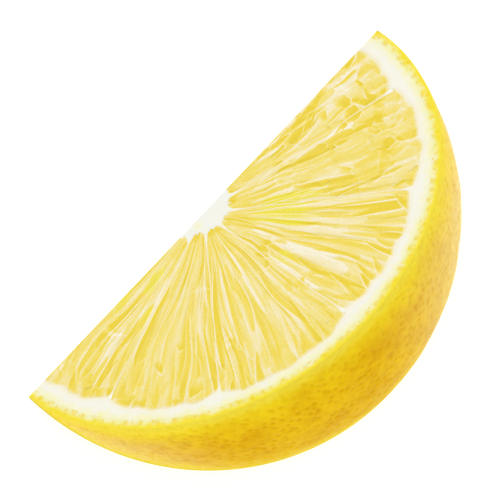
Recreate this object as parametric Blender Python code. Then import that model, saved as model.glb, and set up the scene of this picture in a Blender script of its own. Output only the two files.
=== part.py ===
"""Lemon wedge: an eighth of a round lemon, cut twice through one diameter of its middle.

One piece of fruit is one solid: peel, pith and flesh grew together and aren't taken apart.
Metres, +Z up. The wedge lies on its slanting cut. The thin edge, where the two cuts meet,
runs along X at the front, and the peel is at the back. The origin is on the table, in the
middle of the wedge's bounding box.
"""

import math

import bmesh
import bpy
from mathutils import Matrix, Vector

# Driving dimensions
LEMON_RADIUS = 0.030  # at the lemon's middle, square to its stalk axis
LENGTH_RATIO = 1.02  # half the lemon's length over its radius
WEDGE_ANGLE = math.radians(45.0)  # between the two cuts

# Fineness of the peel's facets
FACETS_AROUND = 120
FACETS_POLE_TO_POLE = 60
SHARP_ANGLE = math.radians(25.0)

PEEL_YELLOW = (0.80, 0.48, 0.02, 1.0)
PEEL_ROUGHNESS = 0.45

# The middle cut faces up and forwards, square to the stalk axis. The slanting cut is the base.
STALK_AXIS = Vector((0.0, -math.sin(WEDGE_ANGLE), math.cos(WEDGE_ANGLE)))
TABLE_NORMAL = Vector((0.0, 0.0, 1.0))
ON_THE_CUT = 1e-7  # a vertex this near a cut counts as on it


def clear_scene():
    for thing in list(bpy.data.objects):
        bpy.data.objects.remove(thing)


def make_material(name, colour, roughness):
    material = bpy.data.materials.new(name)
    material.use_nodes = True
    shader = material.node_tree.nodes["Principled BSDF"]
    shader.inputs["Base Color"].default_value = colour
    shader.inputs["Roughness"].default_value = roughness
    shader.inputs["Metallic"].default_value = 0.0
    material.diffuse_color = colour
    return material


def whole_lemon():
    """A round lemon about the origin, with its stalk axis already tilted to STALK_AXIS."""
    fruit = bmesh.new()
    bmesh.ops.create_uvsphere(
        fruit, u_segments=FACETS_AROUND, v_segments=FACETS_POLE_TO_POLE, radius=LEMON_RADIUS
    )
    bmesh.ops.scale(fruit, vec=(1.0, 1.0, LENGTH_RATIO), verts=fruit.verts)
    tilt = Matrix.Rotation(WEDGE_ANGLE, 3, "X")
    bmesh.ops.rotate(fruit, cent=(0.0, 0.0, 0.0), matrix=tilt, verts=fruit.verts)
    return fruit


def cut_through_middle(fruit, outward):
    """One knife cut through the origin. What lies on the outward side falls away."""
    everything = fruit.verts[:] + fruit.edges[:] + fruit.faces[:]
    cut = bmesh.ops.bisect_plane(
        fruit,
        geom=everything,
        dist=ON_THE_CUT,
        plane_co=(0.0, 0.0, 0.0),
        plane_no=outward,
        clear_outer=True,
    )
    rim = [part for part in cut["geom_cut"] if isinstance(part, bmesh.types.BMEdge)]
    bmesh.ops.edgeloop_fill(fruit, edges=[edge for edge in rim if edge.is_boundary])


def centre_on_table(fruit):
    """Puts the cut that the wedge lies on flat at Z = 0, under the middle of its box."""
    deepest = max(vertex.co.y for vertex in fruit.verts)
    nearest = min(vertex.co.y for vertex in fruit.verts)
    middle = Vector((0.0, (deepest + nearest) / 2, 0.0))
    bmesh.ops.translate(fruit, vec=-middle, verts=fruit.verts)
    for vertex in fruit.verts:
        if abs(vertex.co.z) < ON_THE_CUT:
            vertex.co.z = 0.0


def lemon_wedge():
    fruit = whole_lemon()
    cut_through_middle(fruit, STALK_AXIS)
    cut_through_middle(fruit, -TABLE_NORMAL)
    centre_on_table(fruit)
    bmesh.ops.recalc_face_normals(fruit, faces=fruit.faces[:])

    mesh = bpy.data.meshes.new("lemon_wedge")
    fruit.to_mesh(mesh)
    fruit.free()
    mesh.shade_smooth()
    mesh.set_sharp_from_angle(angle=SHARP_ANGLE)
    mesh.materials.append(make_material("lemon", PEEL_YELLOW, PEEL_ROUGHNESS))
    wedge = bpy.data.objects.new("lemon_wedge", mesh)
    bpy.context.scene.collection.objects.link(wedge)
    return wedge


clear_scene()
lemon_wedge()
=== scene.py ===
"""The looks of a fresh lemon wedge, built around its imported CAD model.

Every piece is shaped in the whole lemon's own coordinates. The fruit's centre is the middle of the
wedge's thin edge. The first cut, which shows, is square to the stalk axis. The second one, which the
wedge lies on, slants through the same diameter.

    turn    angle about the stalk axis, from the thin edge's +X end, 0 to 180 degrees
    slant   angle about the thin edge, from the first cut (0) to the second (the wedge angle)
    reach   distance from the fruit's centre
"""

import itertools
import math
from typing import NamedTuple

import bmesh
import bpy
import numpy as np
from bpy.props import FloatProperty, FloatVectorProperty, IntProperty, PointerProperty
from mathutils import Matrix, Vector
from mathutils.kdtree import KDTree


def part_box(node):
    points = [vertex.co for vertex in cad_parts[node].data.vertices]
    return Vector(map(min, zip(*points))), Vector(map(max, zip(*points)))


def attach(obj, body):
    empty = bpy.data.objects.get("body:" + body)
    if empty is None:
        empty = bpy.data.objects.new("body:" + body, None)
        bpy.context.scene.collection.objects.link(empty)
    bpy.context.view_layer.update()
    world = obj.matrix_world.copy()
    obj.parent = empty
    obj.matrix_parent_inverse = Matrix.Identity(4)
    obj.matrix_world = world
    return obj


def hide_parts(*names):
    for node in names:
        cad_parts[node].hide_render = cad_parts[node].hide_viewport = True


bl_info = {
    "name": "Lemon wedge",
    "version": (1, 0, 0),
    "blender": (4, 5, 0),
    "location": "3D View > Sidebar > Lemon",
    "description": "Builds a fresh lemon wedge with peel, pith, membranes and juice sacs",
    "category": "Add Mesh",
}

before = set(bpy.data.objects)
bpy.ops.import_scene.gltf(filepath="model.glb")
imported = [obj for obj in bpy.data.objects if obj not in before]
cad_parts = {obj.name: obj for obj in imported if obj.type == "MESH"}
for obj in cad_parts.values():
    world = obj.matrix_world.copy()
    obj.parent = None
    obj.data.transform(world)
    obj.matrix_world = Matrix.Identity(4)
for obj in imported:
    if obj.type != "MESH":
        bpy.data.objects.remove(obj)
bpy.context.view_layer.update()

MM = 0.001
NODE = "lemon_wedge"
BODY = "root"
WELD = 1e-7  # vertices nearer than this, in metres, become one


class Segment(NamedTuple):
    """One segment of flesh. Its two ends are shares of the lemon's radius."""

    start: float  # turn of its first membrane, in degrees
    end: float  # turn of its second membrane, in degrees
    outer: float  # where its flesh ends, at the pith
    inner: float  # where its flesh starts, at the core
    broken: float  # 0 where the knife left long juice sacs, 1 where it left short broad ones


# The first segment and the last are cut through by the thin edge.
SEGMENTS = (
    Segment(-11.0, 20.7, 0.905, 0.118, 0.25),
    Segment(20.7, 52.0, 0.915, 0.088, 0.0),
    Segment(52.0, 89.5, 0.93, 0.088, 0.0),
    Segment(89.5, 128.0, 0.91, 0.092, 0.15),
    Segment(128.0, 162.0, 0.92, 0.1, 0.8),
    Segment(162.0, 194.0, 0.9, 0.118, 1.0),
)


class Sacs(NamedTuple):
    """A ring of juice sacs round the core, or of the slits between them."""

    start: float  # where the inner tips lie, as a share of the way across the flesh
    end: float  # where the outer tips lie, as the same share
    gap: float  # distance between neighbours, in mm
    swing: float  # how many degrees one may swing from the ray through its middle
    point: float  # how pointed the outer end is: 0 blunt, 2 sharp
    slim: float = 0.75  # half the usual width, as a share of the gap
    tone: float = 0.52  # paleness: 0 deep yellow, 1 white


class Layer(NamedTuple):
    """What the sacs of one layer share."""

    spread: float  # how much their paleness varies
    calm: float  # how much fainter they are where the flesh is calm
    rise: float = 0.0  # how far their crests lie above the lower sacs', in mm
    over: bool = True  # whether they lie unbroken over the broken sacs
    slits: bool = False  # whether they are slits


# Rings from the core to the pith, in segments with unbroken sacs and in those with broken ones.
LONG_SACS = (
    Sacs(0.00, 0.50, 0.8, 2.0, 0.9),
    Sacs(0.02, 0.74, 1.0, 1.6, 0.7),
    Sacs(0.12, 0.86, 1.1, 2.0, 0.7),
    Sacs(0.28, 0.95, 1.2, 3.0, 0.6),
    Sacs(0.45, 1.00, 1.4, 5.0, 0.5),
    Sacs(0.70, 1.03, 1.6, 16.0, 0.6),
    Sacs(0.84, 1.05, 1.6, 40.0, 0.8),
)
SHORT_SACS = (
    Sacs(0.00, 0.35, 0.9, 4.0, 0.8),
    Sacs(0.08, 0.50, 1.3, 6.0, 0.6),
    Sacs(0.20, 0.65, 1.9, 9.0, 0.5),
    Sacs(0.35, 0.78, 2.2, 13.0, 0.4),
    Sacs(0.50, 0.92, 2.4, 18.0, 0.4),
    Sacs(0.66, 1.02, 2.4, 26.0, 0.4),
    Sacs(0.82, 1.05, 2.0, 55.0, 0.6),
)
LOWER_LAYER = Layer(spread=0.13, calm=0.3, over=False)

# Thin white sacs that lie over the others.
THIN_SACS = (
    Sacs(0.00, 0.60, 1.0, 2.5, 0.9, 0.26, 0.74),
    Sacs(0.20, 0.90, 1.5, 4.0, 0.9, 0.28, 0.80),
    Sacs(0.15, 0.75, 2.4, 3.0, 0.9, 0.32, 0.84),
    Sacs(0.45, 0.98, 2.3, 6.0, 0.5, 0.34, 0.82),
)
THIN_LAYER = Layer(spread=0.08, calm=0.8, rise=0.02)

# Slits between two sacs, yellow inside and with the next sac's white skin along one side.
SLITS = (
    Sacs(0.00, 0.40, 1.1, 2.5, 0.9, 0.34),
    Sacs(0.05, 0.60, 1.6, 3.0, 0.9, 0.40),
    Sacs(0.25, 0.80, 2.0, 4.0, 0.8, 0.42),
    Sacs(0.30, 0.90, 3.4, 4.0, 0.7, 0.38),
    Sacs(0.50, 0.95, 1.9, 7.0, 0.5, 0.44),
    Sacs(0.72, 1.00, 2.0, 14.0, 0.4, 0.44),
    Sacs(0.84, 1.02, 2.2, 18.0, 0.4, 0.46),
)
SLIT_LAYER = Layer(spread=0.08, calm=0.6, rise=0.02, slits=True)

# How the sacs' outlines waver: the size of the waves in mm, their height in mm in long sacs and
# what short sacs have more, and a seed.
SAC_WAVES = ((5.0, 0.30, 0.1, 21), (1.6, 0.02, 0.1, 31), (0.6, 0.0, 0.03, 41))

TINY = 1e-9  # keeps divisions from meeting zero
ON_A_CUT = 1e-6  # a share this near a cut's end counts as on it

# The closed sheets' columns, and their rows along the first cut, down the far wall, along the
# second cut and up the near wall. A segment has a column every so many mm at the skin.
PEEL_GRID = (540, (9, 140, 9, 6))
PITH_GRID = (540, (22, 12, 22, 10))
CORE_GRID = (240, (26, 8, 26, 1))
SEGMENT_COLUMN = 0.1
SEGMENT_ROWS = (310, 8, 110, 4)
MEMBRANE_GRID = (90, (4, 4, 4, 4))


class LemonSizes(bpy.types.PropertyGroup):
    """Sizes of the lemon's tissues"""

    zest_depth: FloatProperty(
        name="Zest depth", description="Thickness of the yellow skin with its oil glands",
        default=1.15 * MM, min=0.5 * MM, max=2.0 * MM, unit="LENGTH", precision=5,
    )
    notch_depth: FloatProperty(
        name="Notch depth", description="How far the pith reaches in between two segments",
        default=1.1 * MM, min=0.0, max=4.0 * MM, unit="LENGTH", precision=5,
    )
    star_ray: FloatProperty(
        name="Star ray", description="How far the white core reaches out between two segments",
        default=0.9 * MM, min=0.0, max=4.0 * MM, unit="LENGTH", precision=5,
    )
    membrane: FloatProperty(
        name="Membrane", description="Thickness of the skin between two segments",
        default=0.22 * MM, min=0.05 * MM, max=0.6 * MM, unit="LENGTH", precision=5,
    )
    sac_bed: FloatProperty(
        name="Sac bed", description="How deep the flesh under the lowest juice sacs is",
        default=0.1 * MM, min=0.0, max=2.0 * MM, unit="LENGTH", precision=5,
    )
    sac_drop: FloatProperty(
        name="Sac drop", description="How far a sac's crest lies below the knife's path at most",
        default=0.06 * MM, min=0.0, max=2.0 * MM, unit="LENGTH", precision=5,
    )
    sac_round: FloatProperty(
        name="Sac roundness", description="How far a juice sac's crest rises over its edges",
        default=0.045 * MM, min=0.0, max=1.0 * MM, unit="LENGTH", precision=5,
    )
    gland_spacing: FloatProperty(
        name="Gland spacing", description="Distance between neighbouring oil glands in the zest",
        default=1.04 * MM, min=0.5 * MM, max=3.0 * MM, unit="LENGTH", precision=5,
    )
    pore_depth: FloatProperty(
        name="Pore depth", description="Depth of the dimple that the skin has over a gland",
        default=0.12 * MM, min=0.0, max=0.3 * MM, unit="LENGTH", precision=5,
    )
    seed: IntProperty(
        name="Seed", description="Chooses where the sacs and the glands lie", default=7, min=0
    )


def colour(label, meaning, value):
    return FloatVectorProperty(
        name=label, description=meaning, subtype="COLOR", size=4, min=0.0, max=1.0,
        default=(*value, 1.0),
    )


class LemonColours(bpy.types.PropertyGroup):
    """Colours of the lemon's tissues"""

    skin: colour("Skin", "Golden skin", (0.695, 0.355, 0.0))
    skin_pore: colour("Pore", "Skin in a pore", (0.68, 0.32, 0.0))
    skin_pale: colour("Pale skin", "Skin between the pores", (0.83, 0.53, 0.002))
    # Painted sheen: the skin is painted paler towards the two tips, standing in for a reflection of
    # the white surroundings on skin that curves away.
    skin_tip_sheen: colour("Tip skin", "Paler skin towards the wedge's two tips", (0.95, 0.78, 0.31))
    skin_rim: colour("Rim skin", "Skin that light reaches through the cuts", (0.89, 0.70, 0.012))
    zest: colour("Zest", "Zest where it is cut", (0.90, 0.76, 0.08))
    gland: colour("Gland", "Oil gland that is cut open", (0.875, 0.65, 0.035))
    pith_lemon: colour("Tinted pith", "Pith beside the zest", (0.90, 0.87, 0.48))
    pith: colour("Pith", "White pith", (0.89, 0.875, 0.77))
    core: colour("Core", "White middle of the fruit", (0.87, 0.87, 0.79))
    sac_white: colour("White sac", "Whitest skin of the sacs", (0.91, 0.86, 0.70))
    sac_cream: colour("Cream sac", "Palest flesh", (0.885, 0.785, 0.5))
    sac_pale: colour("Pale sac", "Pale flesh", (0.875, 0.745, 0.32))
    sac_mid: colour("Sac", "Usual flesh", (0.865, 0.71, 0.18))
    sac_strong: colour("Yellow sac", "Strongly coloured flesh", (0.855, 0.67, 0.08))
    sac_deep: colour("Deep flesh", "Flesh between and under the sacs", (0.81, 0.61, 0.02))
    sac_lemon: colour("Lemon flesh", "Clear patches near the core", (0.84, 0.75, 0.03))


class LemonStage(bpy.types.PropertyGroup):
    """Camera, lights and floor"""

    azimuth: FloatProperty(
        name="Azimuth", description="Camera's direction round the wedge",
        default=math.radians(75.75), subtype="ANGLE",
    )
    elevation: FloatProperty(
        name="Elevation", description="Camera's height above the horizon",
        default=math.radians(79.44), subtype="ANGLE",
    )
    roll: FloatProperty(
        name="Roll", description="Camera's turn about its own axis",
        default=math.radians(-57.99), subtype="ANGLE",
    )
    distance: FloatProperty(
        name="Distance", description="From the camera to the middle of the thin edge",
        default=1.2, min=0.1, unit="LENGTH",
    )
    width: FloatProperty(
        name="Width", description="Width of the view at that distance",
        default=0.0583, min=0.01, unit="LENGTH", precision=4,
    )
    aim_right: FloatProperty(
        name="Aim right", description="How far right of the middle of the thin edge the view's "
        "middle is, in the lemon's radius", default=0.180, precision=3,
    )
    aim_down: FloatProperty(
        name="Aim down", description="How far below the middle of the thin edge the view's "
        "middle is, in the lemon's radius", default=0.144, precision=3,
    )
    sky: FloatProperty(name="Sky", description="Strength of the white surroundings", default=0.72)
    walls: FloatProperty(
        name="Walls", description="How much brighter the surroundings are at the horizon",
        default=1.5,
    )
    key: FloatProperty(name="Key", description="Power of the soft light", default=1.3, unit="POWER")
    fill: FloatProperty(
        name="Fill", description="Power of the two soft lights that reach the skin", default=1.2,
        unit="POWER",
    )


# ---------------------------------------------------------------- the whole lemon's coordinates


class Fruit:
    """The lemon that the wedge was cut from, worked out from the CAD node's box."""

    def __init__(self):
        low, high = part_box(NODE)
        self.radius = (high.x - low.x) / 2
        self.wedge = math.asin((high.z - low.z) / self.radius)
        self.centre = Vector(((low.x + high.x) / 2, low.y, low.z))
        share = self.radius / (high.y - low.y)
        self.stretch = math.sin(self.wedge) / math.sqrt(share**2 - math.cos(self.wedge) ** 2)
        self.into_first_cut = np.array((0.0, math.sin(self.wedge), -math.cos(self.wedge)))

    def alpha(self, turn, slant):
        """The angle from the thin edge, in this slant's half plane, of what lies at this turn."""
        return np.arctan2(np.sin(turn), np.cos(turn) * np.cos(slant))

    def skin(self, turn, slant):
        """How far the skin is from the centre."""
        off = np.sin(self.alpha(turn, slant)) * np.sin(slant)
        return self.radius / np.sqrt(1 + off**2 * (1 / self.stretch**2 - 1))

    def from_axis(self, turn, slant, gap):
        """The reach of what lies this far from the stalk axis."""
        a = self.alpha(turn, slant)
        return gap / np.sqrt(np.cos(a) ** 2 + (np.sin(a) * np.cos(slant)) ** 2)

    def place(self, turn, slant, reach):
        a = self.alpha(turn, slant)
        out = reach * np.sin(a)
        tip = self.wedge - slant
        spot = np.stack([reach * np.cos(a), out * np.cos(tip), out * np.sin(tip)], axis=1)
        return spot + np.array(self.centre)


fruit = Fruit()


# ---------------------------------------------------------------- small tools


def smooth(low, high, value):
    """0 below low, 1 above high, and an even climb between them."""
    t = np.clip((value - low) / (high - low), 0, 1)
    return t * t * (3 - 2 * t)


def hashed(cells, seed):
    """A number from 0 to 1 for each row of whole numbers, always the same one."""
    h = (cells[:, 0] * 73856093) ^ (cells[:, 1] * 19349663) ^ (cells[:, 2] * 83492791)
    h = h ^ (seed * 50331653)
    h = (h ^ (h >> 13)) * 1274126177
    return ((h ^ (h >> 16)) & 0xFFFFFF) / 0xFFFFFF


def lumps(places, size, seed):
    """Smooth noise from -1 to 1 whose lumps are about this size."""
    at = places / size
    cell = np.floor(at).astype(np.int64)
    part = at - cell
    part = part * part * (3 - 2 * part)
    total = np.zeros(len(places))
    for corner in itertools.product((0, 1), repeat=3):
        weight = np.prod(np.where(corner, part, 1 - part), axis=1)
        total += weight * hashed(cell + np.array(corner), seed)
    return 2 * total - 1


def shards(places, size, seed):
    """Splits a plane into uneven cells.

    Gives each place its cell's number from 0 to 1, how far the cell's edge is, and how far it lies
    past the cell's middle along the second axis.
    """
    at = places / size
    base = np.floor(at).astype(np.int64)
    best, second = np.full(len(at), 9.0), np.full(len(at), 9.0)
    key, past = np.zeros(len(at)), np.zeros(len(at))
    for step in itertools.product((-1, 0, 1), repeat=2):
        cell = np.column_stack([base + step, np.full(len(at), seed)])
        spot = cell[:, :2] + np.stack([hashed(cell, 1), hashed(cell, 2)], axis=1)
        gap = np.linalg.norm(at - spot, axis=1)
        wins = gap < best
        second = np.where(wins, best, np.minimum(second, gap))
        best = np.where(wins, gap, best)
        key = np.where(wins, hashed(cell, 3), key)
        past = np.where(wins, (at - spot)[:, 1], past)
    return key, (second - best) * size / 2, past * size


def stretches(counts):
    """Knots that share a sheet's rows between its stretches, for np.interp."""
    return np.concatenate([[0.0], np.cumsum(counts)]) / sum(counts)


def sheet(name, columns, rows):
    """A flat grid as a mesh, and each vertex's shares of the way along its columns and rows."""
    grid = bmesh.new()
    bmesh.ops.create_grid(grid, x_segments=columns, y_segments=rows, size=0.5)
    mesh = bpy.data.meshes.new(name)
    grid.to_mesh(mesh)
    grid.free()
    at = np.empty(len(mesh.vertices) * 3, np.float32)
    mesh.vertices.foreach_get("co", at)
    at = at.reshape(-1, 3).astype(float) + 0.5
    return mesh, at[:, 0].clip(0, 1), at[:, 1].clip(0, 1)


def record_look(mesh, looks):
    """Keeps numbers that the materials read, one array for each attribute."""
    for name, values in looks.items():
        kind = "FLOAT_VECTOR" if values.ndim > 1 else "FLOAT"
        field = "vector" if values.ndim > 1 else "value"
        attribute = mesh.attributes.new(name, kind, "POINT")
        attribute.data.foreach_set(field, values.astype(np.float32).ravel())


def lay_out(mesh, across, along):
    """The grid's own layout as the UV map that a baked texture uses."""
    corners = np.empty(len(mesh.loops), np.int32)
    mesh.loops.foreach_get("vertex_index", corners)
    uv = np.stack([across[corners], along[corners]], axis=1) * 0.98 + 0.01
    layer = mesh.uv_layers.new(name="OFBake", do_init=False)
    layer.uv.foreach_set("vector", uv.astype(np.float32).ravel())


def closed_piece(mesh, spots, looks, across, along, crease=50.0):
    """Moves the sheet's vertices to their spots, welds its seams, and makes it an object."""
    mesh.vertices.foreach_set("co", spots.astype(np.float32).ravel())
    record_look(mesh, looks)
    lay_out(mesh, across, along)
    body = bmesh.new()
    body.from_mesh(mesh)
    bmesh.ops.remove_doubles(body, verts=body.verts[:], dist=WELD)
    bmesh.ops.dissolve_degenerate(body, edges=body.edges[:], dist=WELD)
    open_edges = [edge for edge in body.edges if edge.is_boundary]
    bmesh.ops.holes_fill(body, edges=open_edges, sides=0)
    bmesh.ops.recalc_face_normals(body, faces=body.faces[:])
    body.to_mesh(mesh)
    body.free()
    mesh.shade_smooth()
    mesh.set_sharp_from_angle(angle=math.radians(crease))
    piece = bpy.data.objects.new(mesh.name, mesh)
    bpy.context.scene.collection.objects.link(piece)
    return piece


def finish_piece(piece, material):
    piece.data.materials.append(material)
    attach(piece, BODY)
    return piece


class Ring:
    """A closed sheet round a slice of the lemon.

    Its columns run from one turn to another. Its rows run out along the first cut, down the far
    wall, back in along the second cut and up the near wall.
    """

    def __init__(self, name, turns, grid, near, far):
        columns, rows = grid
        self.mesh, self.across, self.along = sheet(name, columns, sum(rows))
        knots = stretches(rows)
        self.share = np.interp(self.along, knots, [0, 1, 1, 0, 0])
        self.slant = fruit.wedge * np.interp(self.along, knots, [0, 0, 1, 1, 0])
        self.turn = turns[0] + (turns[1] - turns[0]) * self.across
        self.first_cut = (self.along <= knots[1] + ON_A_CUT) | (self.along > 1 - ON_A_CUT)
        self.far_wall = (self.along > knots[1] + ON_A_CUT) & (self.along < knots[2] - ON_A_CUT)
        self.second_cut = (self.along >= knots[2] - ON_A_CUT) & (self.along <= knots[3] + ON_A_CUT)
        self.near = near(self.turn, self.slant)
        self.far = far(self.turn, self.slant)
        self.reach = self.near + self.share * (self.far - self.near)

    def settle(self):
        self.spots = fruit.place(self.turn, self.slant, self.reach)
        self.alpha = fruit.alpha(self.turn, self.slant)
        self.off_edge = self.reach * np.sin(self.alpha)

    def sink(self, depth):
        """Lowers the cut faces into the fruit, less where the wedge is too thin for it."""
        room = 0.4 * fruit.wedge * np.abs(self.off_edge) + TINY
        depth = depth * room / (np.abs(depth) + room)
        self.spots += np.outer(depth * self.first_cut, fruit.into_first_cut)
        self.spots[:, 2] += depth * self.second_cut

    def piece(self, looks):
        return closed_piece(self.mesh, self.spots, looks, self.across, self.along)


# ---------------------------------------------------------------- where the tissues meet


def segment_at(turn):
    """For each turn, its segment's number and where it lies between that segment's membranes."""
    walls = np.radians([segment.start for segment in SEGMENTS] + [SEGMENTS[-1].end])
    number = np.clip(np.searchsorted(walls, turn, side="right") - 1, 0, len(SEGMENTS) - 1)
    share = (turn - walls[number]) / (walls[number + 1] - walls[number])
    return number, np.clip(share, 0, 1)


def flesh_out(turn, slant, sizes, number=None):
    """The reach of the flesh's outer end, which is rounded off beside each membrane."""
    found, share = segment_at(turn)
    number = found if number is None else number
    outer = np.array([segment.outer for segment in SEGMENTS])[number] * fruit.radius
    bulge = 1 - np.abs(2 * share - 1) ** 4
    waver = 0.16 * MM * np.sin(turn * 31.0 + 1.3) + 0.1 * MM * np.sin(turn * 57.0)
    reach = outer - sizes.notch_depth * (1 - bulge) + waver * bulge
    return reach * (fruit.skin(turn, slant) / fruit.radius)


def flesh_in(turn, slant, sizes, number=None):
    """The reach of the flesh's inner end, at the core."""
    found, share = segment_at(turn)
    number = found if number is None else number
    inner = np.array([segment.inner for segment in SEGMENTS])[number] * fruit.radius
    ray = np.abs(2 * share - 1) ** 3
    prong = 0.4 * smooth(0.2, 1.0, np.sin(turn * 25.0 + 0.6)) + 0.15 * np.sin(turn * 47.0)
    return fruit.from_axis(turn, slant, inner + sizes.star_ray * np.maximum(ray, prong))


# ---------------------------------------------------------------- juice sacs

# Ranges that each sac's own numbers are drawn from.
SAC_SHIFT = (-0.45, 0.45)  # sideways, in gaps
SAC_START = (-0.1, 0.4)  # how far out its inner tip lies, in depths of the ring
SAC_LENGTH = (0.55, 1.1)  # length, in depths of the ring
SAC_WIDTH = (0.4, 1.2)  # width, in the ring's usual widths
SAC_TOP = (-1.0, 0.5)  # height of its crest, in the greatest drops
SAC_SOLID = (0.45, 0.95)  # how much it hides what is under it

# A sac's outline.
SAC_BEND = 0.02  # sideways, as a share of its length
SAC_FULLNESS = 1.35  # makes its widest place about as wide as its width says
SAC_TIP = 0.6  # the power by which it widens from its inner tip
SAC_REACH = 1.4  # no part of it is further from its middle line, in widths

# How sacs lean, in swings, together with their neighbours and each by itself, and how large the
# places are that lean together, and those that are calm, in mm.
LEAN_TOGETHER, LEAN_ALONE = 1.5, 0.3
LEAN_LUMPS, CALM_LUMPS = 3.5, 4.5

# What broken flesh adds to the sway of thin sacs and slits, and to the slits' width and shortness.
THIN_SWAY, SLIT_SWAY, SLIT_WIDER, SLIT_SHORTER = 2, 4, 0.4, 0.35

# A sac's skin: what the painted light on its lit side, its grain and the blotches add to its
# paleness.
PAINTED_LIGHT_TONE, GRAIN_TONE, BLOTCH_TONE = 0.10, 0.15, 0.08
# The direction that the painted light on the sacs comes from.
LIT_FROM = np.array([-0.3, -0.9])
GRAIN_STRETCH = 0.16  # what a step along the sac counts for in its grain, against one across it
GRAIN_APART = 3.7  # keeps one sac's grain unlike the next one's
SAC_SHOULDER = 0.35  # how far in from its edge it reaches its height, in mm
NARROW = 0.25  # the least half width that its edge fades by, in mm

# Fine lines along a sac's edges, a painted highlight on its lit side and painted shade on the other:
# how many sacs have them, what they add to the paleness, and where they lie and how wide they are in
# mm.
HIGHLIT_EDGES, SHADED_EDGES = 0.45, 0.4
HIGHLIGHT_LINE, SHADE_LINE = 0.28, -0.22
EDGE_INSET, EDGE_WIDTH = 0.1, 0.07

# The flesh under the sacs: its paleness, what blotches and fibres add, the fibres' height and
# length in mm, and how many there are in a radian.
BED_TONE, BED_BLOTCH, BED_FIBRE = 0.36, 0.16, 0.12
FIBRE_HEIGHT, FIBRE_LENGTH, FIBRES = 0.03, 2.2, 45.0
CUTS_APART = 0.1  # keeps one cut's noise unlike the other's

# Broken sacs split into plates on a fan that spreads out from the core.
FAN_RADIUS = 20  # in mm
FAN_SQUEEZE = 0.75  # along its rays, which stretches the plates that way
FAN_WAVER = 0.7  # how much of the sacs' waver it takes over
PLATE, PLATE_JUMP = 2.6, 0.35  # a plate's size, and how far the sacs on it are shifted, in mm
PLATE_TONES = 0.22  # the range of their paleness
SEAM, SEAM_DEPTH = 0.1, 0.01  # in mm
PALE_SEAM, DEEP_SEAM = 0.14, -0.06  # what the seams add to the paleness
PALE_SEAM_PLATES = 0.6  # plates numbered above this have pale seams, the others deep ones

SLIT_WHITE, SLIT_DEPTH = 0.92, 0.015  # paleness, and depth in mm

# Torn skins that curl up, with a painted highlight along each crest and painted shade along each
# furrow:
# how large the torn places are, their folds and the folds' bends, and how far the folds bend, all in
# mm. Then each crest's and furrow's width and the furrow's place.
TORN_LUMPS, FOLDS, BENDS, BEND = 3.5, 1.3, 0.9, 0.5
CREST_WIDTH, FURROW_WIDTH, FURROW_PLACE = 0.1, 0.12, 0.22
CREST_HEIGHT = 0.01  # in mm

# Yellow pockets with a painted highlight along one lip: size, depth, and where the lip lies and how
# wide it is, in mm. Then the paleness of the pocket and of its painted lip highlight, and the share
# of cells that are pockets.
POCKET, POCKET_DEPTH, LIP_INSET, LIP_WIDTH = 1.6, 0.03, 0.09, 0.06
POCKET_TONE, LIP_HIGHLIGHT_TONE, POCKET_SHARE = 0.04, 0.88, 0.3

# Along its edges each segment sinks below the membranes, the pith and the core, in mm.
RIM_WIDTH, RIM_DEPTH = 0.5, 0.09
CONTRAST, DARKER = 1.12, 0.02  # the last change to the flesh's paleness


class Sac:
    """One juice sac on a cut face: a spindle from tip to tip, laid over what is under it."""

    def __init__(self, reach, angle, lean, length, width, point, draw):
        self.tip = reach * np.array([math.cos(angle), math.sin(angle)])
        self.axis = np.array([math.cos(angle + lean), math.sin(angle + lean)])
        self.side = np.array([-self.axis[1], self.axis[0]])
        self.length = length
        self.width = width
        self.point = point
        self.bend = draw.normal(0.0, SAC_BEND) * length

    def cover(self, spots):
        """The spots it covers, how far across and along it they are, and its half width there."""
        off = spots - self.tip
        along, across = off @ self.axis, off @ self.side
        near = (along > 0) & (along < self.length)
        near &= np.abs(across) < SAC_REACH * self.width + abs(self.bend)
        found = np.nonzero(near)[0]
        t = along[found] / self.length
        across = across[found] - self.bend * np.sin(math.pi * t)
        half = SAC_FULLNESS * self.width * t**SAC_TIP * (1 - t) ** (0.5 * self.point) + TINY
        inside = np.abs(across) < half
        return found[inside], across[inside], along[found][inside], half[inside]


def lay_ring(sacs, number, wall, reach, ring, layer, drop, draw):
    """Adds one ring of sacs, evenly shared out between the segment's two walls."""
    low, high = (reach[0] + share * (reach[1] - reach[0]) for share in (ring.start, ring.end))
    count = max(2, round((low + high) / 2 * (wall[1] - wall[0]) / (ring.gap * MM)))
    for k in range(count):
        share = (k + 0.5 + draw.uniform(*SAC_SHIFT)) / count
        angle = wall[0] + (wall[1] - wall[0]) * share
        length = (high - low) * draw.uniform(*SAC_LENGTH)
        tip = low + (high - low) * draw.uniform(*SAC_START)
        place = (tip + length / 2) * np.array([math.cos(angle), math.sin(angle)])
        agreed = lumps(np.array([[*place, number * MM]]), LEAN_LUMPS * MM, 13)[0]
        lean = math.radians(ring.swing * (LEAN_TOGETHER * agreed + draw.normal(0.0, LEAN_ALONE)))
        width = ring.slim * ring.gap * MM * draw.uniform(*SAC_WIDTH)
        sac = Sac(tip, angle, lean, length, width, ring.point, draw)
        sac.tone = draw.normal(ring.tone, layer.spread)
        sac.top = layer.rise * MM + draw.uniform(*SAC_TOP) * drop
        middle = sac.tip + sac.axis * length / 2
        busy = lumps(np.array([[*middle, 0.0]]), CALM_LUMPS * MM, 7)[0]
        sac.solid = draw.uniform(*SAC_SOLID) * (1 - layer.calm * (1 - smooth(-0.5, 0.1, busy)))
        sac.pale_edge = (draw.random() < HIGHLIT_EDGES) and not layer.over
        sac.deep_edge = (draw.random() < SHADED_EDGES) and not layer.over
        sac.white_side = draw.choice((-1.0, 1.0))
        sac.slit, sac.over = layer.slits, layer.over
        sacs.append(sac)


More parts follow.
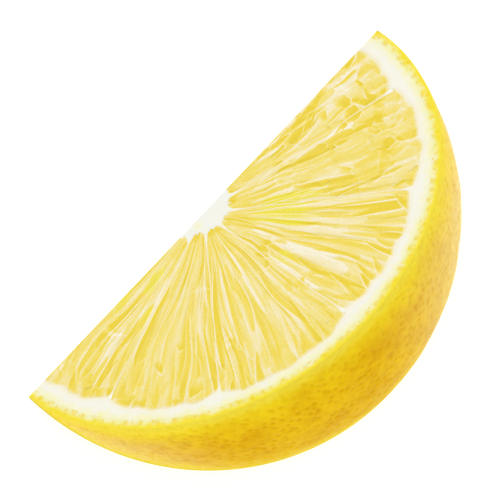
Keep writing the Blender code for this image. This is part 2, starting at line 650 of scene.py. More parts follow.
def sacs_of(number, slant, sizes, draw):
    """All sacs that one cut lays bare in one segment, the lowest first."""
    segment = SEGMENTS[number]
    turns = np.radians([segment.start, segment.end])
    wall = list(fruit.alpha(turns, np.full(2, slant)))
    if number == len(SEGMENTS) - 1 and wall[1] < 0:
        wall[1] += 2 * math.pi
    middle = np.array([(turns[0] + turns[1]) / 2])
    slants = np.array([slant])
    reach = [end(middle, slants, sizes, number)[0] for end in (flesh_in, flesh_out)]
    broken = segment.broken
    sacs = []
    for long, short in zip(LONG_SACS, SHORT_SACS):
        ring = Sacs(*(a + (b - a) * broken for a, b in zip(long, short)))
        lay_ring(sacs, number, wall, reach, ring, LOWER_LAYER, sizes.sac_drop, draw)
    sacs = [sacs[k] for k in draw.permutation(len(sacs))]
    for ring in THIN_SACS:
        ring = ring._replace(swing=ring.swing * (1 + THIN_SWAY * broken))
        lay_ring(sacs, number, wall, reach, ring, THIN_LAYER, sizes.sac_drop, draw)
    for ring in SLITS:
        ring = ring._replace(
            end=ring.end - SLIT_SHORTER * broken * (ring.end - ring.start),
            swing=ring.swing * (1 + SLIT_SWAY * broken),
            slim=ring.slim * (1 + SLIT_WIDER * broken),
        )
        lay_ring(sacs, number, wall, reach, ring, SLIT_LAYER, sizes.sac_drop, draw)
    return sacs


def wavering(flat, broken):
    """Where the places lie once the sacs' outlines waver."""
    spots = flat.copy()
    for size, high, more, seed in SAC_WAVES:
        sway = [lumps(spots, size * MM, seed + k) * (high + more * broken) * MM for k in (0, 1)]
        spots[:, 0] += sway[0]
        spots[:, 1] += sway[1]
    return spots[:, :2]


def flesh_field(number, slant, x, off_edge, sizes):
    """Paleness (0 deep yellow to 1 white) and height of the flesh that one cut lays bare."""
    broken = SEGMENTS[number].broken
    draw = np.random.default_rng(sizes.seed * 1000 + number * 10 + (slant > 0))
    flat = np.stack([x, off_edge, np.full(len(x), slant * CUTS_APART)], axis=1)
    whole = wavering(flat, broken)
    blotch = 0.6 * lumps(flat, 2.6 * MM, 61) + 0.4 * lumps(flat, 1.0 * MM, 62)
    reach, angle = np.hypot(x, off_edge), np.arctan2(off_edge, x)
    broken_here = broken * smooth(0.1, 0.45, reach / fruit.radius)
    fan = np.stack([angle * FAN_RADIUS * MM, FAN_SQUEEZE * reach], axis=1)
    fan = fan + FAN_WAVER * (whole - flat[:, :2])
    plate, to_seam, _ = shards(fan, PLATE * MM, 5)
    turned = 2 * math.pi * plate
    jump = PLATE_JUMP * MM * smooth(0.2, 0.9, broken_here)
    jumped = whole + np.stack([np.cos(turned) * jump, np.sin(turned) * jump], axis=1)
    polar = np.stack([angle * FIBRES, reach / (FIBRE_LENGTH * MM), reach * 0 + number], axis=1)
    fibre = lumps(polar, 1.0, 55) * (1 - 0.6 * broken)
    pale = BED_TONE + BED_BLOTCH * blotch + BED_FIBRE * fibre
    level = FIBRE_HEIGHT * MM * fibre - sizes.sac_bed
    for order, sac in enumerate(sacs_of(number, slant, sizes, draw)):
        covered = sac.cover(whole if sac.over else jumped)
        if sac.slit:
            open_slit(sac, covered, pale, level)
        else:
            lay_sac(sac, covered, order, blotch, sizes.sac_round, pale, level)
    seam = np.exp(-((to_seam / (SEAM * MM)) ** 2)) * broken_here
    pale += (plate - 0.5) * PLATE_TONES * broken_here
    pale += seam * np.where(plate > PALE_SEAM_PLATES, PALE_SEAM, DEEP_SEAM)
    level -= SEAM_DEPTH * MM * seam
    level *= smooth(-0.05, 0.4, reach / fruit.radius)
    return crinkled(pale, np.minimum(level, 0.0), flat, fan, broken)


def lay_sac(sac, covered, order, blotch, roundness, pale, level):
    """Lays a sac over the flesh: a rounded spindle with fine grain along it, painted paler on its
    lit side, with a painted highlight line along that edge and a painted shade line along the other.
    """
    found, across, along, half = covered
    edge = half - np.abs(across)
    lit = across / half * math.copysign(1.0, sac.side @ LIT_FROM)
    apart = np.full(len(found), order * GRAIN_APART)
    grain = np.stack([across / MM, GRAIN_STRETCH * along / MM, apart], axis=1)
    grain = 0.6 * lumps(grain, 0.30, 51) + 0.4 * lumps(grain, 0.14, 52)
    tone = sac.tone + PAINTED_LIGHT_TONE * lit + GRAIN_TONE * grain + BLOTCH_TONE * blotch[found]
    cover = sac.solid * smooth(0.0, 0.22, edge / np.maximum(half, NARROW * MM))
    pale[found] += (tone - pale[found]) * cover
    line = np.exp(-(((edge - EDGE_INSET * MM) / (EDGE_WIDTH * MM)) ** 2)) * sac.solid
    # Painted highlight along the lit edge, painted shade along the other.
    pale[found] += line * np.where(lit > 0, HIGHLIGHT_LINE * sac.pale_edge, SHADE_LINE * sac.deep_edge)
    height = sac.top + roundness * (1 - (across / half) ** 2)
    level[found] += (height - level[found]) * sac.solid * smooth(0.0, SAC_SHOULDER * MM, edge)


def open_slit(sac, covered, pale, level):
    """Opens a slit in the flesh: white along its first edge, then yellow that fades away."""
    found, across, _, half = covered
    across = across / half * sac.white_side
    white = sac.solid * smooth(-1.0, -0.88, across) * (1 - smooth(-0.75, -0.55, across))
    deep = sac.solid * smooth(-0.72, -0.5, across) * (1 - smooth(0.0, 1.0, across))
    pale[found] += (SLIT_WHITE - pale[found]) * white - pale[found] * deep
    level[found] -= SLIT_DEPTH * MM * deep


def crinkled(pale, level, flat, fan, broken):
    """Adds the torn skins that curl up in places, with painted highlights on their crests and
    painted shade in their furrows, and the yellow pockets between the sacs, with a painted highlight
    along one lip.
    """
    bent = flat.copy()
    for axis in (0, 1):
        bent[:, axis] += BEND * MM * lumps(flat, BENDS * MM, 81 + axis)
    start = 0.4 - 0.25 * broken
    torn = lumps(flat, TORN_LUMPS * MM, 71) + 0.3 * (broken - 0.5)
    torn = smooth(start, start + 0.35, torn)
    fold = lumps(bent, FOLDS * MM, 83)
    highlit_crest = torn * np.exp(-((fold / CREST_WIDTH) ** 2))
    shaded_furrow = torn * np.exp(-(((fold - FURROW_PLACE) / FURROW_WIDTH) ** 2))
    # Painted highlight on the crests, painted shade in the furrows.
    pale = pale + (0.3 - 0.12 * broken) * highlit_crest - 0.15 * shaded_furrow
    chip, to_edge, past = shards(fan + 0.4 * (bent - flat)[:, :2], POCKET * MM, 9)
    common = smooth(-0.1, 0.3, lumps(flat, 6 * MM, 93) + 0.6 * broken - 0.3)
    where = common * (chip > 1 - POCKET_SHARE)
    # Painted highlight along the lip on one side of each pocket.
    lip_highlight = np.exp(-(((to_edge - LIP_INSET * MM) / (LIP_WIDTH * MM)) ** 2))
    lip_highlight = lip_highlight * where * (past > 0.1 * MM)
    pocket = smooth(0.08 * MM, 0.2 * MM, to_edge) * smooth(-0.9 * MM, 0.1 * MM, past) * where
    pale = pale + 0.9 * pocket * (POCKET_TONE + 0.08 * lumps(flat, 0.35 * MM, 63) - pale)
    pale = pale + 0.7 * lip_highlight * (LIP_HIGHLIGHT_TONE - pale)
    return pale, level + CREST_HEIGHT * MM * (highlit_crest - shaded_furrow) - POCKET_DEPTH * MM * pocket


def flesh_look(ring, number, sizes):
    """Sinks a segment's cut faces to its juice sacs, and gives what the flesh material reads."""
    pale, level = np.full(len(ring.across), 0.4), np.zeros(len(ring.across))
    for slant, wanted in ((0.0, ring.first_cut), (fruit.wedge, ring.second_cut)):
        x = ring.reach[wanted] * np.cos(ring.alpha[wanted])
        pale[wanted], level[wanted] = flesh_field(number, slant, x, ring.off_edge[wanted], sizes)
    walls, from_core, to_pith = edge_distance(ring, number)
    outer, edged = paler_at_edges(ring, pale, walls, from_core, to_pith)
    rim = 1 - smooth(0.0, RIM_WIDTH * MM, np.minimum(np.minimum(walls, to_pith), from_core))
    level += (-RIM_DEPTH * MM - level) * rim
    ring.sink(-level)
    pale = 0.5 + CONTRAST * (edged - 0.5) - DARKER
    patch = np.stack([ring.alpha * 6 * MM, ring.reach / 5, ring.slant * MM], axis=1)
    depth = from_core / fruit.radius
    near_core = smooth(0.1, 0.18, depth) * (1 - smooth(0.3, 0.45, depth))
    clear = near_core * (SEGMENTS[number].broken > 0.1)
    lemon = smooth(0.25, 0.5, lumps(patch, MM, 37)) * clear
    return {"sac_look": np.stack([pale, lemon, outer], axis=1)}


def paler_at_edges(ring, pale, walls, from_core, to_pith):
    """How much the flesh takes after the pith, and its paleness with its edges' own tones."""
    patchy = lumps(ring.spots, 0.7 * MM, 15)
    outer = 1 - smooth(0.0, 0.55 * MM, to_pith + 0.15 * MM * patchy)
    pale = pale + (0.9 - pale) * 0.5 * outer
    inner = 1 - smooth(0.2 * MM, 1.6 * MM, from_core + 0.3 * MM * patchy)
    pale = pale - 0.28 * inner * smooth(0.0, 0.2 * MM, from_core)
    rays = np.stack([ring.alpha * 14.0, ring.reach / (3 * MM), ring.slant], axis=1)
    feather = (1 - smooth(0.0, 1.5 * MM, from_core)) * smooth(0.0, 0.5, lumps(rays, 1.0, 33))
    pale = pale + 0.5 * feather * (1 - pale)
    pale = pale + 0.2 * (1 - smooth(0.04 * MM, 0.14 * MM, walls)) * smooth(-0.3, 0.6, patchy)
    return outer, pale - 0.2 * (1 - smooth(0.05 * MM, 0.25 * MM, ring.off_edge))


def edge_distance(ring, number):
    """How far each place on a cut face is from the segment's membranes, the core and the pith."""
    turns = np.radians([SEGMENTS[number].start, SEGMENTS[number].end])
    walls = np.minimum(ring.turn - turns[0], turns[1] - ring.turn) * ring.reach
    return walls, ring.reach - ring.near, ring.far - ring.reach


# ---------------------------------------------------------------- materials

# Lumps in a metre of the materials' noises.
BLOTCHES, SPECKS, STREAKS, SKIN_GRAIN, RIND_LUMPS = 260.0, 1500.0, 1000.0, 1600.0, 700.0
SPONGE, CORE_SPOTS, FLESH_GRAIN = 1400.0, 520.0, 3600.0


class Finish:
    """A Principled material, and short ways to add and link its nodes."""

    def __init__(self, name, **values):
        self.material = bpy.data.materials.new(name)
        self.material.use_nodes = True
        self.tree = self.material.node_tree
        self.shader = self.tree.nodes["Principled BSDF"]
        for socket, value in values.items():
            self.shader.inputs[socket.replace("_", " ")].default_value = value

    def node(self, kind, inputs=(), **settings):
        made = self.tree.nodes.new("ShaderNode" + kind)
        for name, value in settings.items():
            setattr(made, name, value)
        for socket, value in dict(inputs).items():
            self.feed(made.inputs[socket], value)
        return made

    def feed(self, socket, value):
        if isinstance(value, bpy.types.NodeSocket):
            self.tree.links.new(value, socket)
        else:
            socket.default_value = value

    def number(self, name):
        """The number kept in an attribute."""
        return self.node("Attribute", attribute_name=name).outputs["Fac"]

    def numbers(self, name):
        """The three numbers kept in an attribute."""
        read = self.node("Attribute", attribute_name=name)
        return self.node("SeparateXYZ", {0: read.outputs["Vector"]}).outputs

    def math(self, operation, a, b=0.0, clamp=False):
        made = self.node("Math", {0: a, 1: b}, operation=operation, use_clamp=clamp)
        return made.outputs[0]

    def fit(self, value, low, high, to_low=0.0, to_high=1.0):
        """value's range from low to high, stretched to another range and held inside it."""
        made = self.node("MapRange", {0: value, 1: low, 2: high, 3: to_low, 4: to_high})
        return made.outputs[0]

    def mix(self, share, a, b):
        made = self.node("Mix", {0: share, 6: a, 7: b}, data_type="RGBA")
        return made.outputs[2]

    def ramp(self, value, stops):
        made = self.node("ValToRGB", {0: value})
        points = made.color_ramp.elements
        while len(points) < len(stops):
            points.new(0.5)
        for point, (position, shade) in zip(points, stops):
            point.position = position
            point.color = shade
        return made.outputs[0]

    def noise(self, place, scale, detail=3.0, roughness=0.55):
        """Noise from 0 to 1, with this many lumps in a metre."""
        inputs = {"Vector": place, "Scale": scale, "Detail": detail, "Roughness": roughness}
        return self.node("TexNoise", inputs).outputs[0]

    def object_place(self):
        return self.node("TexCoord").outputs["Object"]

    def bump(self, height, distance, strength=1.0):
        made = self.node("Bump", {"Height": height, "Distance": distance, "Strength": strength})
        self.feed(self.shader.inputs["Normal"], made.outputs[0])

    def paint(self, shade, roughness=None):
        self.feed(self.shader.inputs["Base Color"], shade)
        if roughness is not None:
            self.feed(self.shader.inputs["Roughness"], roughness)


def rind_colour(made, depth, gland, colours):
    """Colour by depth under the skin in mm, from the zest and its glands to the white pith."""
    uneven = made.noise(made.object_place(), RIND_LUMPS, 4.0, 0.6)
    uneven = made.fit(uneven, 0.3, 0.7, -0.5, 0.5)
    depth = made.math("ADD", depth, made.math("MULTIPLY", uneven, made.fit(depth, 0.0, 0.6)))
    stops = [
        (0.04, colours.skin_rim), (0.16, colours.zest), (0.46, colours.pith_lemon),
        (0.95, colours.pith),
    ]
    shade = made.ramp(made.fit(depth, -0.1, 2.4), stops)
    return made.mix(gland, shade, colours.gland)


def skin_colour(made, pore, clear, colours):
    """Skin with its pores, with a painted sheen towards the tips and a painted glow, of light
    reaching through the cuts, near them.
    """
    place = made.object_place()
    blotch = made.fit(made.noise(place, BLOTCHES, 4.0, 0.6), 0.34, 0.66)
    speck = made.fit(made.noise(place, SPECKS, 3.0, 0.65), 0.36, 0.64)
    skin = made.mix(blotch, colours.skin, colours.skin_pale)
    skin = made.mix(made.math("MULTIPLY", speck, 0.45), skin, colours.skin_pale)
    skin = made.mix(made.math("MULTIPLY", pore, 0.75), skin, colours.skin_pore)
    # Painted sheen towards the tips, in streaks, and weaker in the pores.
    sheen_streak = made.fit(made.noise(place, STREAKS, 3.0, 0.6), 0.3, 0.7, 0.65, 1.25)
    tip_sheen = made.math("MULTIPLY", made.number("tip_sheen"), sheen_streak)
    tip_sheen = made.math("MULTIPLY", tip_sheen, made.fit(pore, 0.0, 1.0, 1.05, 0.8), clamp=True)
    skin = made.mix(tip_sheen, skin, colours.skin_tip_sheen)
    # Painted glow of light that reaches through the cuts, fading with distance from them.
    cut_glow = made.math("ADD", clear, made.fit(speck, 0.0, 1.0, -0.4, 0.4))
    cut_glow = made.math("ADD", cut_glow, made.fit(blotch, 0.0, 1.0, 0.7, -0.7))
    cut_glow = made.math("POWER", made.fit(cut_glow, 0.0, 6.5, 1.0, 0.0), 1.6)
    skin = made.mix(cut_glow, skin, colours.skin_rim)
    at_rim = made.math("ADD", clear, made.fit(speck, 0.0, 1.0, -0.3, 0.3))
    return made.mix(made.fit(at_rim, 0.0, 1.8, 0.85, 0.0), skin, colours.zest)


def skin_material(colours):
    """Waxy, pored skin outside, and cut zest from the rim inwards."""
    made = Finish(
        "lemon_skin", Specular_IOR_Level=0.015, Subsurface_Weight=0.1,
        Subsurface_Radius=(1.0, 0.6, 0.05), Subsurface_Scale=1.0 * MM,
    )
    look = made.numbers("skin_look")
    pore, under, clear = look["X"], look["Y"], look["Z"]
    skin = skin_colour(made, pore, clear, colours)
    inside = rind_colour(made, under, made.fit(pore, 0.0, 1.0, 0.0, 0.75), colours)
    shade = made.mix(made.fit(under, 0.0, 0.12), skin, inside)
    place = made.object_place()
    made.paint(shade, made.fit(made.noise(place, RIND_LUMPS, 2.0), 0.2, 0.8, 0.36, 0.5))
    made.bump(made.noise(place, SKIN_GRAIN), 0.15 * MM, 0.9)
    return made.material


def pith_material(colours):
    """Spongy pith, lemon beside the zest, white, and creamy where it meets the flesh."""
    made = Finish("lemon_pith", Roughness=0.6, Specular_IOR_Level=0.3)
    shade = rind_colour(made, made.number("under_skin"), 0.0, colours)
    inner = made.fit(made.number("past_flesh"), 0.2, 0.8, 0.45, 0.0)
    made.paint(made.mix(inner, shade, colours.sac_cream))
    made.bump(made.noise(made.object_place(), SPONGE, 4.0), 0.12 * MM, 0.5)
    return made.material


def core_material(colours):
    """White core with faint lemon spots."""
    made = Finish("lemon_core", Roughness=0.55, Specular_IOR_Level=0.3)
    place = made.object_place()
    spots = made.fit(made.noise(place, CORE_SPOTS, 2.0), 0.56, 0.68, 0.0, 0.5)
    made.paint(made.mix(spots, colours.core, colours.pith_lemon))
    made.bump(made.noise(place, SKIN_GRAIN, 4.0), 0.12 * MM, 0.5)
    return made.material


def membrane_material(colours):
    """Thin skin between two segments, white at both ends and creamy between."""
    made = Finish("lemon_membrane", Roughness=0.35)
    made.paint(made.mix(made.number("whiteness"), colours.sac_cream, colours.pith))
    made.bump(made.noise(made.object_place(), SPECKS), 0.1 * MM, 0.4)
    return made.material


def flesh_material(colours):
    """Wet flesh, coloured by paleness, with lemon patches and pith at its outer end."""
    made = Finish("lemon_flesh", Specular_IOR_Level=0.35)
    look = made.numbers("sac_look")
    paleness, patch, outer = look["X"], look["Y"], look["Z"]
    fine = made.noise(made.object_place(), FLESH_GRAIN, 3.0, 0.6)
    paleness = made.math("ADD", paleness, made.fit(fine, 0.3, 0.7, -0.05, 0.05))
    stops = [
        (0.0, colours.sac_deep), (0.2, colours.sac_strong), (0.4, colours.sac_mid),
        (0.6, colours.sac_pale), (0.8, colours.sac_cream), (1.0, colours.sac_white),
    ]
    lemon = made.math("MULTIPLY", patch, made.fit(paleness, 0.45, 0.75, 0.75, 0.1))
    shade = made.mix(lemon, made.ramp(paleness, stops), colours.sac_lemon)
    shade = made.mix(made.math("MULTIPLY", outer, 0.5), shade, colours.pith)
    made.paint(shade, made.fit(fine, 0.3, 0.7, 0.22, 0.38))
    made.bump(fine, 0.05 * MM, 0.25)
    return made.material


# ---------------------------------------------------------------- pieces


# Two rows of glands along each cut: their depth under the skin in mm, and the gap between them in
# gland spacings. The other glands lie at this share of the skin's reach.
CUT_GLANDS = ((0.72, 1.35), (1.15, 3.1))
GLAND_REACH = 0.985
GLAND_RADIUS = 0.4  # of the gland spacing
GLAND_JITTER = 0.2  # of the gland spacing
PAST_CUT = 0.15  # how many radians past the cuts there are glands


def gland_places(sizes):
    """Places and relative sizes of the oil glands, those of the skin and those along the cuts."""
    draw = np.random.default_rng(sizes.seed)
    spacing = sizes.gland_spacing
    count = int(4 * math.pi * fruit.radius**2 * 2 / math.sqrt(3) / spacing**2)
    k = np.arange(count) + 0.5
    height = 1 - 2 * k / count
    around = k * math.pi * (1 + math.sqrt(5))
    flat = np.sqrt(1 - height**2)
    spots = np.stack([flat * np.cos(around), flat * np.sin(around), height], axis=1)
    spots = spots * (fruit.radius * GLAND_REACH)
    spots = spots + draw.normal(0.0, GLAND_JITTER * spacing, (count, 3))
    slope = np.arctan2(spots[:, 2], spots[:, 1])
    near = (slope > -PAST_CUT) & (slope < fruit.wedge + PAST_CUT)
    places, share = [spots[near] + np.array(fruit.centre)], [draw.uniform(0.6, 1.25, near.sum())]
    step = spacing / fruit.radius
    for slant in (0.0, fruit.wedge):
        for under, gap in CUT_GLANDS:
            turn = np.arange(0.3, math.pi / step, gap) * step
            turn = turn + draw.normal(0.0, GLAND_JITTER * step, len(turn))
            slants = np.full(len(turn), slant)
            reach = fruit.skin(turn, slants) - under * MM + draw.normal(0.0, 0.15 * MM, len(turn))
            places.append(fruit.place(turn, slants, reach))
            share.append(draw.uniform(0.5, 1.3, len(turn)))
    return np.concatenate(places), np.concatenate(share)


def nearest_gland(spots, sizes):
    """For each spot, how far the nearest gland's middle is, counted in that gland's own radius."""
    places, shares = gland_places(sizes)
    tree = KDTree(len(places))
    for number, place in enumerate(places):
        tree.insert(place, number)
    tree.balance()
    found = [tree.find(spot)[1:] for spot in spots]
    number = np.array([f[0] for f in found])
    distance = np.array([f[1] for f in found])
    return distance / (GLAND_RADIUS * sizes.gland_spacing * shares[number])


def make_peel(sizes, material):
    """The zest with its skin: pores over the glands, slow swells, and edges rounded at the cuts."""
    def near(turn, slant):
        return fruit.skin(turn, slant) - sizes.zest_depth

    ring = Ring("peel", (0.0, math.pi), PEEL_GRID, near, fruit.skin)
    ring.settle()
    under = (ring.far - ring.reach) / MM
    over_gland = fruit.place(ring.turn, ring.slant, ring.far * GLAND_REACH)
    gland = nearest_gland(np.where(ring.far_wall[:, None], over_gland, ring.spots), sizes)
    outward = ring.spots - np.array(fruit.centre)
    outward /= np.linalg.norm(outward, axis=1)[:, None]
    clear = np.minimum(ring.slant, fruit.wedge - ring.slant) * ring.off_edge
    pore = 1 - smooth(0.1, 1.15, gland)
    swell = 0.07 * MM * lumps(ring.spots, 4.5 * MM, 3) + 0.035 * MM * lumps(ring.spots, 1.7 * MM, 5)
    rise = swell - 0.04 * MM - sizes.pore_depth * pore
    rise = rise * (smooth(0.0, 0.5 * MM, clear) * ring.far_wall)
    rounding = 0.3 * MM * (1 - np.sqrt(smooth(0.0, 1.2 * MM, clear))) * ring.far_wall
    ring.spots += outward * (rise - rounding)[:, None]
    turn, low = np.degrees(ring.turn), ring.slant / fruit.wedge
    # Where the skin is painted with a sheen: towards both tips, and more towards the second cut.
    first_tip_sheen = 0.75 * (1 - smooth(12, 50, turn)) * (0.35 + 0.65 * low)
    second_tip_sheen = 0.95 * smooth(85, 140, turn) * (0.45 + 0.55 * low)
    looks = {"skin_look": np.stack([pore, under, clear / MM], axis=1),
             "tip_sheen": first_tip_sheen + second_tip_sheen}
    piece = finish_piece(ring.piece(looks), material)
    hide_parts(NODE)


def make_pith(sizes, material):
    """The pith, from just under the zest to just inside the flesh's outer ends."""
    def near(turn, slant):
        return flesh_out(turn, slant, sizes) - 0.25 * MM

    def far(turn, slant):
        return fruit.skin(turn, slant) - sizes.zest_depth + 0.03 * MM

    ring = Ring("pith", (0.0, math.pi), PITH_GRID, near, far)
    ring.settle()
    under = (fruit.skin(ring.turn, ring.slant) - ring.reach) / MM
    inner = (ring.reach - ring.near) / MM
    dip = 0.1 * MM * (1 - smooth(0.0, 0.45, inner))
    ring.sink(0.015 * MM * (1 + lumps(ring.spots, 0.5 * MM, 11)) + 0.01 * MM + dip)
    finish_piece(ring.piece({"under_skin": under, "past_flesh": inner}), material)


def make_core(sizes, material):
    """The core, out to just inside the flesh's inner ends."""
    def near(turn, slant):
        return turn * 0.0

    def far(turn, slant):
        return flesh_in(turn, slant, sizes) + 0.3 * MM

    ring = Ring("core", (0.0, math.pi), CORE_GRID, near, far)
    ring.settle()
    dip = 0.11 * MM * (1 - smooth(0.0, 0.5 * MM, ring.far - ring.reach))
    ring.sink(0.02 * MM * (1 + lumps(ring.spots, 0.6 * MM, 17)) + dip)
    finish_piece(ring.piece({}), material)


def make_segment(number, sizes, material):
    """One segment of flesh, as far as the two cuts and the thin edge leave it."""
    segment = SEGMENTS[number]
    turns = np.radians([max(0.0, segment.start), min(180.0, segment.end)])

    def near(turn, slant):
        return flesh_in(turn, slant, sizes, number)

    def far(turn, slant):
        return flesh_out(turn, slant, sizes, number)

    columns = round(float(turns[1] - turns[0]) * fruit.radius / (SEGMENT_COLUMN * MM))
    ring = Ring(f"segment_{number + 1}", turns, (columns, SEGMENT_ROWS), near, far)
    ring.settle()
    finish_piece(ring.piece(flesh_look(ring, number, sizes)), material)


def make_membrane(number, sizes, material):
    """The skin between two segments: a thin upright sheet through both cuts."""
    turn = math.radians(SEGMENTS[number].start)
    columns, rows = MEMBRANE_GRID
    mesh, across, along = sheet(f"membrane_{number}", columns, sum(rows))
    knots = stretches(rows)
    side = np.interp(along, knots, [-0.5, 0.5, 0.5, -0.5, -0.5])
    slant = fruit.wedge * np.interp(along, knots, [0, 0, 1, 1, 0])
    ones = np.full(len(across), turn)
    start = flesh_in(ones, slant, sizes) - 1.2 * MM
    end = flesh_out(ones, slant, sizes) + 0.4 * MM
    reach = start + (end - start) * across
    flare = 1 + 1.6 * (1 - smooth(0.03, 0.11, across)) + 2.0 * smooth(0.93, 1.0, across)
    wave = 0.12 * MM * np.sin(across * 19 + number) * np.sin(math.pi * across)
    spots = fruit.place(ones + (side * flare * sizes.membrane + wave) / reach, slant, reach)
    sunk = 0.03 * MM + 0.035 * MM * np.sin(math.pi * across) + 0.2 * MM * side**2
    spots += np.outer(sunk * (slant <= 0), fruit.into_first_cut)
    spots[:, 2] += sunk * (slant >= fruit.wedge)
    white = np.maximum(1 - smooth(0.0, 0.14, across), smooth(0.9, 0.98, across))
    piece = closed_piece(mesh, spots, {"whiteness": white}, across, along)
    finish_piece(piece, material)


# ---------------------------------------------------------------- operators


class LEMON_OT_peel(bpy.types.Operator):
    """Build the yellow peel with its pores, as a shell one zest thick"""

    bl_idname = "lemon.peel"
    bl_label = "Peel"

    def execute(self, context):
        make_peel(context.scene.lemon_sizes, skin_material(context.scene.lemon_colours))
        return {"FINISHED"}


class LEMON_OT_pith(bpy.types.Operator):
    """Build the white pith between the zest and the flesh"""

    bl_idname = "lemon.pith"
    bl_label = "Pith"

    def execute(self, context):
        make_pith(context.scene.lemon_sizes, pith_material(context.scene.lemon_colours))
        return {"FINISHED"}


class LEMON_OT_core(bpy.types.Operator):
    """Build the white core, a star in the middle of the thin edge"""

    bl_idname = "lemon.core"
    bl_label = "Core"

    def execute(self, context):
        make_core(context.scene.lemon_sizes, core_material(context.scene.lemon_colours))
        return {"FINISHED"}


class LEMON_OT_membranes(bpy.types.Operator):
    """Build the thin skins between the segments"""

    bl_idname = "lemon.membranes"
    bl_label = "Membranes"

    def execute(self, context):
        material = membrane_material(context.scene.lemon_colours)
        for number in range(1, len(SEGMENTS)):
            make_membrane(number, context.scene.lemon_sizes, material)
        return {"FINISHED"}


class LEMON_OT_flesh(bpy.types.Operator):
    """Build the segments of flesh with their juice sacs laid bare"""

    bl_idname = "lemon.flesh"
    bl_label = "Flesh"

    def execute(self, context):
        material = flesh_material(context.scene.lemon_colours)
        for number in range(len(SEGMENTS)):
            make_segment(number, context.scene.lemon_sizes, material)
        return {"FINISHED"}


class LEMON_OT_stage(bpy.types.Operator):
    """Set the pale floor, the soft lights and the camera"""

    bl_idname = "lemon.stage"
    bl_label = "Stage"

    def execute(self, context):
        stage = context.scene.lemon_stage
        make_floor()
        make_lights(stage)
        make_camera(stage)
        return {"FINISHED"}


WHITE = (1.0, 1.0, 1.0, 1.0)
FLOOR_GREY = (0.6, 0.6, 0.6, 1.0)
FLOOR_REACH = 3.0
FLOOR_GAP = 0.02 * MM

# The soft round lights: which of the stage's powers they have and how much of it. Then, in metres,
# their diameter, and where they are from the middle of the thin edge.
LIGHTS = {
    "key": ("key", 1.0, 0.25, (-0.25, -0.83, 0.48)),
    "fill_a": ("fill", 1.0, 0.6, (-0.93, 0.33, 0.3)),
    "fill_b": ("fill", 0.7, 0.6, (0.93, 0.4, 0.3)),
}


def make_floor():
    """A white table, wide enough to fill the view."""
    grid = bmesh.new()
    bmesh.ops.create_grid(grid, x_segments=1, y_segments=1, size=FLOOR_REACH)
    bmesh.ops.translate(grid, vec=(0.0, 0.0, -FLOOR_GAP), verts=grid.verts)
    mesh = bpy.data.meshes.new("floor")
    grid.to_mesh(mesh)
    grid.free()
    made = Finish(
        "white_table", Base_Color=FLOOR_GREY, Roughness=0.9, Specular_IOR_Level=0.1,
        Emission_Color=WHITE, Emission_Strength=0.62,
    )
    mesh.materials.append(made.material)
    floor = bpy.data.objects.new("floor", mesh)
    bpy.context.scene.collection.objects.link(floor)


def make_surroundings(stage):
    """A white room, a little brighter near the horizon than overhead."""
    world = bpy.data.worlds.new("white_room")
    world.use_nodes = True
    tree = world.node_tree
    direction = tree.nodes.new("ShaderNodeTexCoord").outputs["Generated"]
    height = tree.nodes.new("ShaderNodeSeparateXYZ")
    fade = tree.nodes.new("ShaderNodeMapRange")
    fade.inputs["To Min"].default_value = stage.sky * stage.walls
    fade.inputs["To Max"].default_value = stage.sky
    tree.links.new(direction, height.inputs[0])
    tree.links.new(height.outputs["Z"], fade.inputs["Value"])
    tree.links.new(fade.outputs[0], tree.nodes["Background"].inputs["Strength"])
    tree.nodes["Background"].inputs["Color"].default_value = WHITE
    bpy.context.scene.world = world


def make_lights(stage):
    """White surroundings, the soft light and the two fills."""
    make_surroundings(stage)
    for name, (power, share, size, way) in LIGHTS.items():
        light = bpy.data.lights.new(name, "AREA")
        light.shape = "DISK"
        light.size = size
        light.energy = getattr(stage, power) * share
        lamp = bpy.data.objects.new(name, light)
        lamp.location = fruit.centre + Vector(way)
        lamp.rotation_euler = Vector(way).to_track_quat("Z", "Y").to_euler()
        bpy.context.scene.collection.objects.link(lamp)
    bpy.context.scene.view_settings.view_transform = "Standard"


NEAREST, FARTHEST = 0.01, 20.0


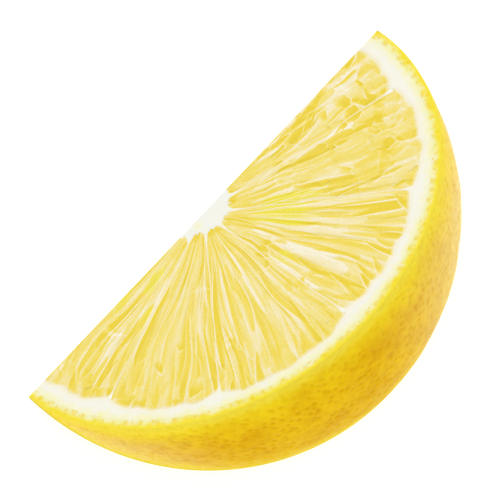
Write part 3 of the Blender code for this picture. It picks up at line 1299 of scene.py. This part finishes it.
def make_camera(stage):
    """A long lens, aimed a little below and to the right of the middle of the thin edge."""
    back = Vector((
        math.sin(stage.azimuth) * math.cos(stage.elevation),
        -math.cos(stage.azimuth) * math.cos(stage.elevation),
        math.sin(stage.elevation),
    ))
    level_up = (Vector((0.0, 0.0, 1.0)) - back * back.z).normalized()
    level_right = level_up.cross(back)
    up = level_up * math.cos(stage.roll) + level_right * math.sin(stage.roll)
    right = up.cross(back)
    aim = fruit.centre + fruit.radius * (stage.aim_right * right - stage.aim_down * up)
    lens = bpy.data.cameras.new("camera")
    lens.lens = lens.sensor_width * stage.distance / stage.width
    lens.clip_start, lens.clip_end = NEAREST, FARTHEST
    camera = bpy.data.objects.new("camera", lens)
    camera.matrix_world = Matrix.Translation(aim + back * stage.distance) @ Matrix(
        (right, up, back)
    ).transposed().to_4x4()
    bpy.context.scene.collection.objects.link(camera)
    bpy.context.scene.camera = camera


class LEMON_PT_build(bpy.types.Panel):
    bl_idname = "LEMON_PT_build"
    bl_label = "Lemon wedge"
    bl_space_type = "VIEW_3D"
    bl_region_type = "UI"
    bl_category = "Lemon"

    def draw(self, context):
        for operator in OPERATORS:
            self.layout.operator(operator.bl_idname)
        for name in GROUPS:
            box = self.layout.box()
            group = getattr(context.scene, name)
            for setting in group.__annotations__:
                box.prop(group, setting)


GROUPS = {"lemon_sizes": LemonSizes, "lemon_colours": LemonColours, "lemon_stage": LemonStage}
OPERATORS = (
    LEMON_OT_stage,
    LEMON_OT_peel,
    LEMON_OT_pith,
    LEMON_OT_core,
    LEMON_OT_membranes,
    LEMON_OT_flesh,
)
CLASSES = (*GROUPS.values(), *OPERATORS, LEMON_PT_build)


def register():
    for kind in CLASSES:
        bpy.utils.register_class(kind)
    for name, group in GROUPS.items():
        setattr(bpy.types.Scene, name, PointerProperty(type=group))


def unregister():
    for name in GROUPS:
        delattr(bpy.types.Scene, name)
    for kind in reversed(CLASSES):
        bpy.utils.unregister_class(kind)


def main():
    register()
    for operator in OPERATORS:
        group, name = operator.bl_idname.split(".")
        getattr(getattr(bpy.ops, group), name)()


if __name__ == "__main__":
    main()
